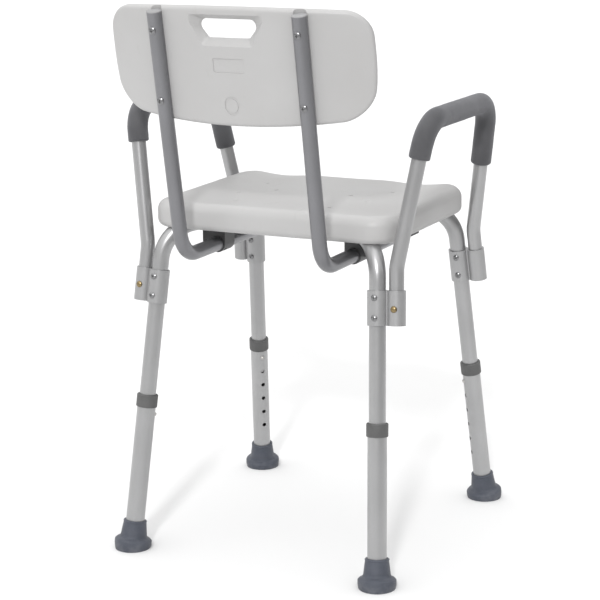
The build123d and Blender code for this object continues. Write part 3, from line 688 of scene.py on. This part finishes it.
# ------------------------------------------------------------------ backrest
BACK_X, BACK_LEAN, BACK_REF_Z = 0.114, 0.1774, 0.700
BACK_ORIGIN = Vector((0.0, LEG_CENTRE_Y + 0.248, BACK_REF_Z))
BACK_UP = Vector((0.0, BACK_LEAN, 1.0)).normalized()
BACK_AHEAD = Vector((0.0, -BACK_UP.z, BACK_UP.y))
PANEL_T, PANEL_FRONT_R, PANEL_BACK_W = 0.014, 0.550, -0.0067
PANEL_REAR_R = PANEL_FRONT_R + PANEL_T
PANEL_HALF_X, PANEL_LOW_V, PANEL_TOP_V = 0.206, -0.018, 0.133
PANEL_EDGE_R = 0.0052
PANEL_BOW_TOP, PANEL_BOW_LOW = 0.0115, 0.0105      # how far the long edges arch, up and down
PANEL_WIDE_V, PANEL_WIDE = 0.066, 0.2098           # where the panel is widest, and half its width there
PANEL_IN_TOP, PANEL_IN_LOW = 0.0038, 0.0098        # how far the sides draw in towards the top and below
PANEL_RUN_TOP, PANEL_RUN_LOW = 0.067, 0.084        # from the widest place to the top and to the bottom
PANEL_CORNER_LOW, PANEL_CORNER_TOP = 0.042, 0.034
PANEL_UNEVEN, PANEL_WAVES = 0.00014, 24.0
GROOVE_R, GROOVE_FROM, GROOVE_TO = 0.01105, -0.06, 0.20    # grooves for the backrest tubes


def panel_place(x, v, depth):
    """Point of the panel: x across, v up the lean, depth from the front face (0) to the rear."""
    from_top = (PANEL_TOP_V - v) / (PANEL_TOP_V - PANEL_LOW_V)
    bow = PANEL_BOW_TOP * (1 - from_top) - PANEL_BOW_LOW * from_top
    v_bowed = v + bow * (1 - (x / PANEL_HALF_X) ** 2)
    if v > PANEL_WIDE_V:
        half = PANEL_WIDE - PANEL_IN_TOP * ((v - PANEL_WIDE_V) / PANEL_RUN_TOP) ** 2
    else:
        half = PANEL_WIDE - PANEL_IN_LOW * ((v - PANEL_WIDE_V) / PANEL_RUN_LOW) ** 2
    turned = math.asin(x * half / PANEL_HALF_X / PANEL_REAR_R)
    reach = PANEL_FRONT_R + depth
    ahead = PANEL_BACK_W + PANEL_REAR_R - reach * math.cos(turned)
    return BACK_ORIGIN + Vector((reach * math.sin(turned), 0, 0)) + BACK_UP * v_bowed + BACK_AHEAD * ahead


def panel_solid(x, y, depth):
    v = y + (PANEL_TOP_V + PANEL_LOW_V) / 2
    uneven = PANEL_UNEVEN * mathnoise.noise(Vector((x, v, depth)) * PANEL_WAVES)
    return panel_place(x, v, depth + uneven)


def panel_tool(loops, closed=False):
    """Cutter through loops of (outline in x and v, depth), bent with the panel; closed makes a ring."""
    bm = bmesh.new()
    rings = [[bm.verts.new(panel_place(p.x, p.y, depth)) for p in outline] for outline, depth in loops]
    for ring, following in zip(rings, rings[1:]):
        bridge(bm, ring, following)
    if closed:
        bridge(bm, rings[-1], rings[0])
    else:
        bm.faces.new(rings[0])
        bm.faces.new(rings[-1])
    return loose(bm)


def even_loop(points, count):
    """The same closed outline with count points, evenly spaced, starting at the first."""
    length, at = walker(points + points[:1])
    return [at(length * k / count)[0] for k in range(count)]


# the slot's two outlines, narrower below: where it goes through, and where it opens at the rear
SLOT_HOLE = ((-0.0545, 0.1165), (0.0545, 0.1165), (0.0325, 0.0930), (-0.0325, 0.0930))
SLOT_REAR = ((-0.0620, 0.1235), (0.0620, 0.1235), (0.0380, 0.0845), (-0.0380, 0.0845))
SLOT_FLARE = (                                     # share of the way to the rear outline, and depth
    (0.75, -0.003), (0.42, -0.0002), (0.2, 0.0006), (0.04, 0.0016), (0.0, 0.0028), (0.03, 0.0040),
    (0.27, 0.0064), (0.5, 0.0088), (0.73, 0.0111), (0.95, 0.0132), (1.06, 0.0141), (1.5, 0.0175),
)
SLOT_TOP_R, SLOT_LOW_R = 0.0085, 0.0045
MARK_DEPTH = 0.0008
MARK_BOX = ((-0.024, 0.069), (0.024, 0.069), (0.024, 0.051), (-0.024, 0.051))
MARK_RING_V, MARK_RING_RADII = 0.009, (0.0122, 0.0088)


def slot_outline(share):
    """Outline of the hand slot, from the hole (0) to the rear opening (1), with points on its sides."""
    corners = [Vector(a).lerp(Vector(b), share) for a, b in zip(SLOT_HOLE, SLOT_REAR)]
    outline = rounded(corners, [SLOT_TOP_R - 0.003 * share] * 2 + [SLOT_LOW_R] * 2, steps=8)
    dense = []
    for a, b in zip(outline, outline[1:] + outline[:1]):
        count = max(1, round((b - a).length / 0.006))
        dense += [a.lerp(b, k / count) for k in range(count)]
    return dense


def press_marks(panel):
    """Two shallow plain recesses low on the rear face: a rounded rectangle, and a ring."""
    deep, proud = PANEL_T - MARK_DEPTH, PANEL_T + 0.002
    plain = even_loop(rounded([Vector(c) for c in MARK_BOX], [0.0012] * 4, steps=3), 60)
    combine(panel, panel_tool([(plain, deep), (plain, proud)]))
    turns = [2 * math.pi * k / 48 for k in range(48)]
    wide, narrow = (
        [Vector((r * math.cos(a), MARK_RING_V + r * math.sin(a))) for a in turns] for r in MARK_RING_RADII
    )
    ring = [(wide, deep), (wide, proud), (narrow, proud), (narrow, deep)]
    combine(panel, panel_tool(ring, closed=True))


def make_backrest():
    """Moulded backrest: a curved shell with soft edges, a flared hand slot and grooves for the tubes."""
    half_y = (PANEL_TOP_V - PANEL_LOW_V) / 2
    inward = [PANEL_EDGE_R + 0.006 * k for k in range(12)]
    rings = [(inset, 0.0) for inset in reversed(inward)]
    rings += quarter(PANEL_EDGE_R, 0.0, 0.0, PANEL_EDGE_R)
    rings += [(0.0, PANEL_EDGE_R), (0.0, PANEL_T / 2), (0.0, PANEL_T - PANEL_EDGE_R)]
    rings += quarter(0.0, PANEL_T - PANEL_EDGE_R, PANEL_EDGE_R, PANEL_T)
    rings += [(inset, PANEL_T) for inset in inward]
    radii = (PANEL_CORNER_LOW, PANEL_CORNER_TOP, PANEL_CORNER_TOP, PANEL_CORNER_LOW)
    panel = loose(plate(rings, PANEL_HALF_X, half_y, radii, (64, 16, 12), panel_solid), "panel_solid")
    flare = [(even_loop(slot_outline(share), 96), depth) for share, depth in SLOT_FLARE]
    combine(panel, panel_tool(flare))
    for side in SIDES.values():
        axis_at = BACK_ORIGIN + Vector((side * BACK_X, 0.0, 0.0))
        combine(panel, rod(axis_at, BACK_UP, GROOVE_R, GROOVE_FROM, GROOVE_TO, segments=96))
    press_marks(panel)
    finished(panel, "moulded_backrest", "seat_plastic", "backrest", ["backrest_panel"])


make_seat()
make_backrest()


# ------------------------------------------------------------------ camera, light and floor
CAMERA_AT = (205.98, 13.25, -0.65)                 # degrees: azimuth, elevation and roll
CAMERA_DISTANCE, CAMERA_LENS = 3.0472, 116.36
CAMERA_TARGET = (0.0218, LEG_CENTRE_Y, 0.3628)
SKY_LEFT, SKY_RIGHT, SKY_TOP = 0.50, 0.10, 1.50    # brightness of the surroundings
SKY_SEEN = 0.95                                    # what is seen past the floor's edge
SKY_SIDE = (0.899, 0.438, 0.0)                     # towards the picture's left
SUN_FROM, SUN_ENERGY, SUN_ANGLE = (-0.275, 0.96, 0.62), 1.4, 6.0
FLOOR_HALF = 30.0
FLOOR_TONES = (0.755,) * 3, (0.765,) * 3
FLOOR_SHADE_TONE, FLOOR_ASIDE = (0.46,) * 3, (-0.98, 0.19)   # painted shade: it darkens to one side, out of the picture, for the room's dark side
FLOOR_FADE = (0.62, 2.0)


def place_camera():
    """Long lens, behind and to the sitter's right of the chair."""
    azimuth, elevation, roll = (math.radians(degrees) for degrees in CAMERA_AT)
    level = math.cos(elevation)
    ahead = Vector((-math.sin(azimuth) * level, math.cos(azimuth) * level, -math.sin(elevation)))
    camera = bpy.data.objects.new("camera", bpy.data.cameras.new("camera"))
    bpy.context.scene.collection.objects.link(camera)
    camera.location = Vector(CAMERA_TARGET) - ahead * CAMERA_DISTANCE
    facing = ahead.to_track_quat("-Z", "Y").to_matrix() @ Matrix.Rotation(roll, 3, "Z")
    camera.rotation_euler = facing.to_euler()
    camera.data.sensor_width = 36.0
    camera.data.lens = CAMERA_LENS
    camera.data.clip_end = 100.0
    bpy.context.scene.camera = camera


def make_sky():
    """Even light from above and from one side; the other side is dark."""
    world = bpy.data.worlds.new("studio")
    world.use_nodes = True
    tree = world.node_tree
    sky = tree.nodes["Background"]
    heading = tree.nodes.new("ShaderNodeTexCoord").outputs["Generated"]
    steps = []
    for direction, limits in (
        (SKY_SIDE, (-0.9, 0.9, SKY_RIGHT, SKY_LEFT)),
        ((0.0, 0.0, 1.0), (0.1, 0.95, 0.0, SKY_TOP)),
    ):
        dot = tree.nodes.new("ShaderNodeVectorMath")
        dot.operation = "DOT_PRODUCT"
        dot.inputs[1].default_value = direction
        tree.links.new(heading, dot.inputs[0])
        spread = tree.nodes.new("ShaderNodeMapRange")
        for socket, value in zip(MAP_RANGE, limits):
            spread.inputs[socket].default_value = value
        tree.links.new(dot.outputs["Value"], spread.inputs["Value"])
        steps.append(spread.outputs["Result"])
    total = tree.nodes.new("ShaderNodeMath")
    tree.links.new(steps[0], total.inputs[0])
    tree.links.new(steps[1], total.inputs[1])
    seen = tree.nodes.new("ShaderNodeMix")
    tree.links.new(tree.nodes.new("ShaderNodeLightPath").outputs["Is Camera Ray"], seen.inputs["Factor"])
    tree.links.new(total.outputs["Value"], seen.inputs["A"])
    seen.inputs["B"].default_value = SKY_SEEN
    tree.links.new(seen.outputs["Result"], sky.inputs["Strength"])
    sky.inputs["Color"].default_value = (1.0, 1.0, 1.0, 1.0)
    bpy.context.scene.world = world
    bpy.context.scene.view_settings.view_transform = "Standard"


def make_sun():
    """One soft low lamp, almost straight across from the camera."""
    sun = bpy.data.lights.new("key_light", "SUN")
    sun.energy, sun.angle = SUN_ENERGY, math.radians(SUN_ANGLE)
    lamp = bpy.data.objects.new("key_light", sun)
    bpy.context.scene.collection.objects.link(lamp)
    lamp.rotation_euler = Vector(SUN_FROM).to_track_quat("Z", "Y").to_euler()


def make_floor():
    """Wide white floor, with painted shade that darkens it to one side, out of the picture."""
    mesh = bpy.data.meshes.new("floor")
    square = [(x * FLOOR_HALF, y * FLOOR_HALF, 0) for x, y in ((-1, -1), (1, -1), (1, 1), (-1, 1))]
    mesh.from_pydata(square, [], [(0, 1, 2, 3)])
    floor = bpy.data.objects.new("floor", mesh)
    bpy.context.scene.collection.objects.link(floor)
    g = Graph("studio_floor", (0.85, 0.85, 0.85), 0.7)
    g.set("Specular IOR Level", 0.0)
    place = g.node("SeparateXYZ", Vector=g.coordinates).outputs
    parts = [g.maths("MULTIPLY", place[axis], share) for axis, share in zip("XY", FLOOR_ASIDE)]
    aside = g.maths("ADD", *parts)
    # painted shade: the floor's colour darkens towards one side, out of the picture
    far = g.spread(aside, *FLOOR_FADE)
    g.join(g.mix(far, g.mix(g.noise(3.0, 3.0), *FLOOR_TONES), FLOOR_SHADE_TONE), "Base Color")
    mesh.materials.append(g.material)


place_camera()
make_sky()
make_sun()
make_floor()
